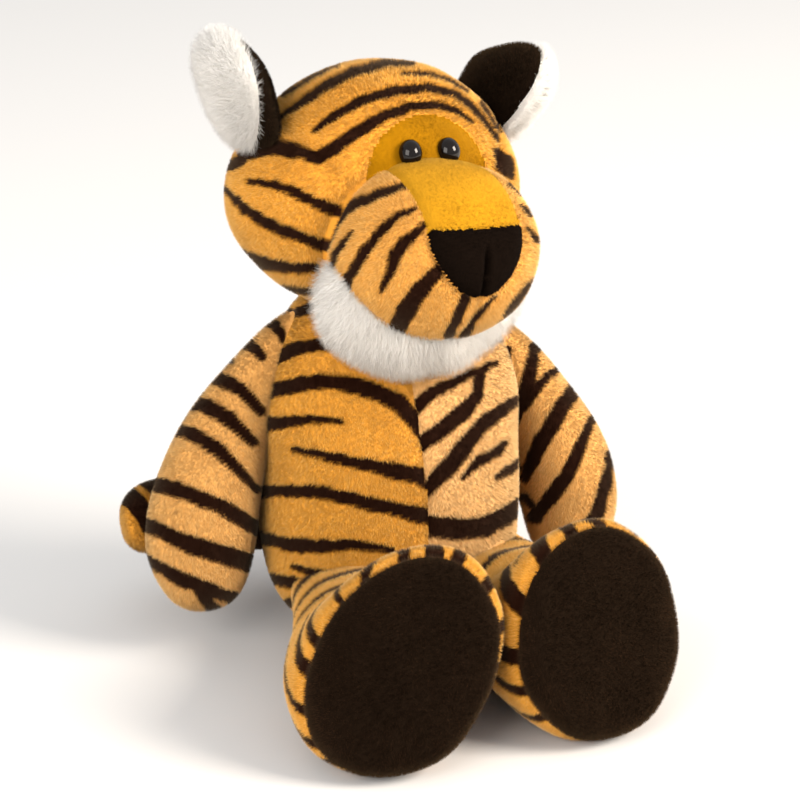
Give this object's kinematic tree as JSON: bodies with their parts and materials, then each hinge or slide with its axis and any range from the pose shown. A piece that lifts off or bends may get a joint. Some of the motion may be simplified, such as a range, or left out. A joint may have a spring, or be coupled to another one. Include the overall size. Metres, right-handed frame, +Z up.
{
  "type": "sitting plush tiger",
  "caption": "Sitting stuffed tiger with a turning, tipping head, hanging arms, folding legs, soft ears and a swinging tail.",
  "frame": {"origin": "centre of the bounding box's bottom, under the seat", "axes": "+Z up; the tiger faces -Y, and its own left side is +X"},
  "size_m": [0.2488, 0.261, 0.3199],
  "materials": {
    "tiger_plush": "orange short pile plush with dark brown tiger stripes",
    "gold_plush": "golden yellow short pile plush",
    "black_plush": "black short pile plush",
    "white_fur": "cream white long pile fur",
    "eye_plastic": "black, polished",
    "washer_plastic": "white, moulded",
    "polyester_fibre": "white fibre filling",
    "cotton": "unbleached cotton bag"
  },
  "bodies": {
    "torso": {"torso_cover_right": "tiger_plush", "torso_cover_left": "tiger_plush", "seat_panel": "tiger_plush", "torso_stuffing": "polyester_fibre", "pellet_bag": "cotton"},
    "neck": {"neck_band": "tiger_plush"},
    "head": {"cheek_panel_right": "tiger_plush", "cheek_panel_left": "tiger_plush", "head_crown_panel": "tiger_plush", "forehead_patch": "gold_plush", "head_stuffing": "polyester_fibre", "eye_right": "eye_plastic", "eye_left": "eye_plastic", "eye_washer_right": "washer_plastic", "eye_washer_left": "washer_plastic", "muzzle_top_patch": "gold_plush", "muzzle_side_panel_right": "tiger_plush", "muzzle_side_panel_left": "tiger_plush", "nose": "black_plush", "muzzle_stuffing": "polyester_fibre", "beard": "white_fur"},
    "ear_right": {"ear_black_panel_right": "black_plush", "ear_white_panel_right": "white_fur"},
    "ear_left": {"ear_black_panel_left": "black_plush", "ear_white_panel_left": "white_fur"},
    "arm_right": {"arm_cover_right": "tiger_plush", "arm_stuffing_right": "polyester_fibre"},
    "arm_left": {"arm_cover_left": "tiger_plush", "arm_stuffing_left": "polyester_fibre"},
    "leg_right": {"leg_cover_right": "tiger_plush", "sole_right": "black_plush", "leg_stuffing_right": "polyester_fibre"},
    "leg_left": {"leg_cover_left": "tiger_plush", "sole_left": "black_plush", "leg_stuffing_left": "polyester_fibre"},
    "tail": {"tail_cover": "tiger_plush", "tail_stuffing": "polyester_fibre"}
  },
  "joints": [
    {"name": "neck_turn", "type": "hinge", "parent": "torso", "child": "neck", "pos_m": [-0.00688, 0.0325, 0.24], "axis": [0, 0, 1], "range_deg": [-25, 25]},
    {"name": "head_nod", "type": "hinge", "parent": "neck", "child": "head", "pos_m": [-0.00688, 0.0325, 0.24], "axis": [-0.982, -0.1674, 0.0871], "range_deg": [0, 12]},
    {"name": "ear_right_fold", "type": "hinge", "parent": "head", "child": "ear_right", "pos_m": [-0.07003, 0.03287, 0.27495], "axis": [-0.165, 0.9857, 0.0349], "range_deg": [-12, 12]},
    {"name": "ear_left_fold", "type": "hinge", "parent": "head", "child": "ear_left", "pos_m": [0.05763, 0.05463, 0.26363], "axis": [-0.165, 0.9857, 0.0349], "range_deg": [-12, 12]},
    {"name": "arm_raise_right", "type": "hinge", "parent": "torso", "child": "arm_right", "pos_m": [-0.04963, 0.04391, 0.17312], "axis": [-0.2079, 0.9781, 0], "range_deg": [0, 70]},
    {"name": "arm_raise_left", "type": "hinge", "parent": "torso", "child": "arm_left", "pos_m": [0.05287, 0.04391, 0.17312], "axis": [-0.2079, -0.9781, 0], "range_deg": [0, 70]},
    {"name": "leg_raise_right", "type": "hinge", "parent": "torso", "child": "leg_right", "pos_m": [-0.03333, -0.02213, 0.07972], "axis": [-1, 0, 0], "range_deg": [0, 40]},
    {"name": "leg_raise_left", "type": "hinge", "parent": "torso", "child": "leg_left", "pos_m": [0.04557, -0.02213, 0.07972], "axis": [-1, 0, 0], "range_deg": [0, 40]},
    {"name": "tail_swing", "type": "hinge", "parent": "torso", "child": "tail", "pos_m": [0.00162, 0.0861, 0.036], "axis": [0, 0, -1], "range_deg": [0, 40]}
  ]
}
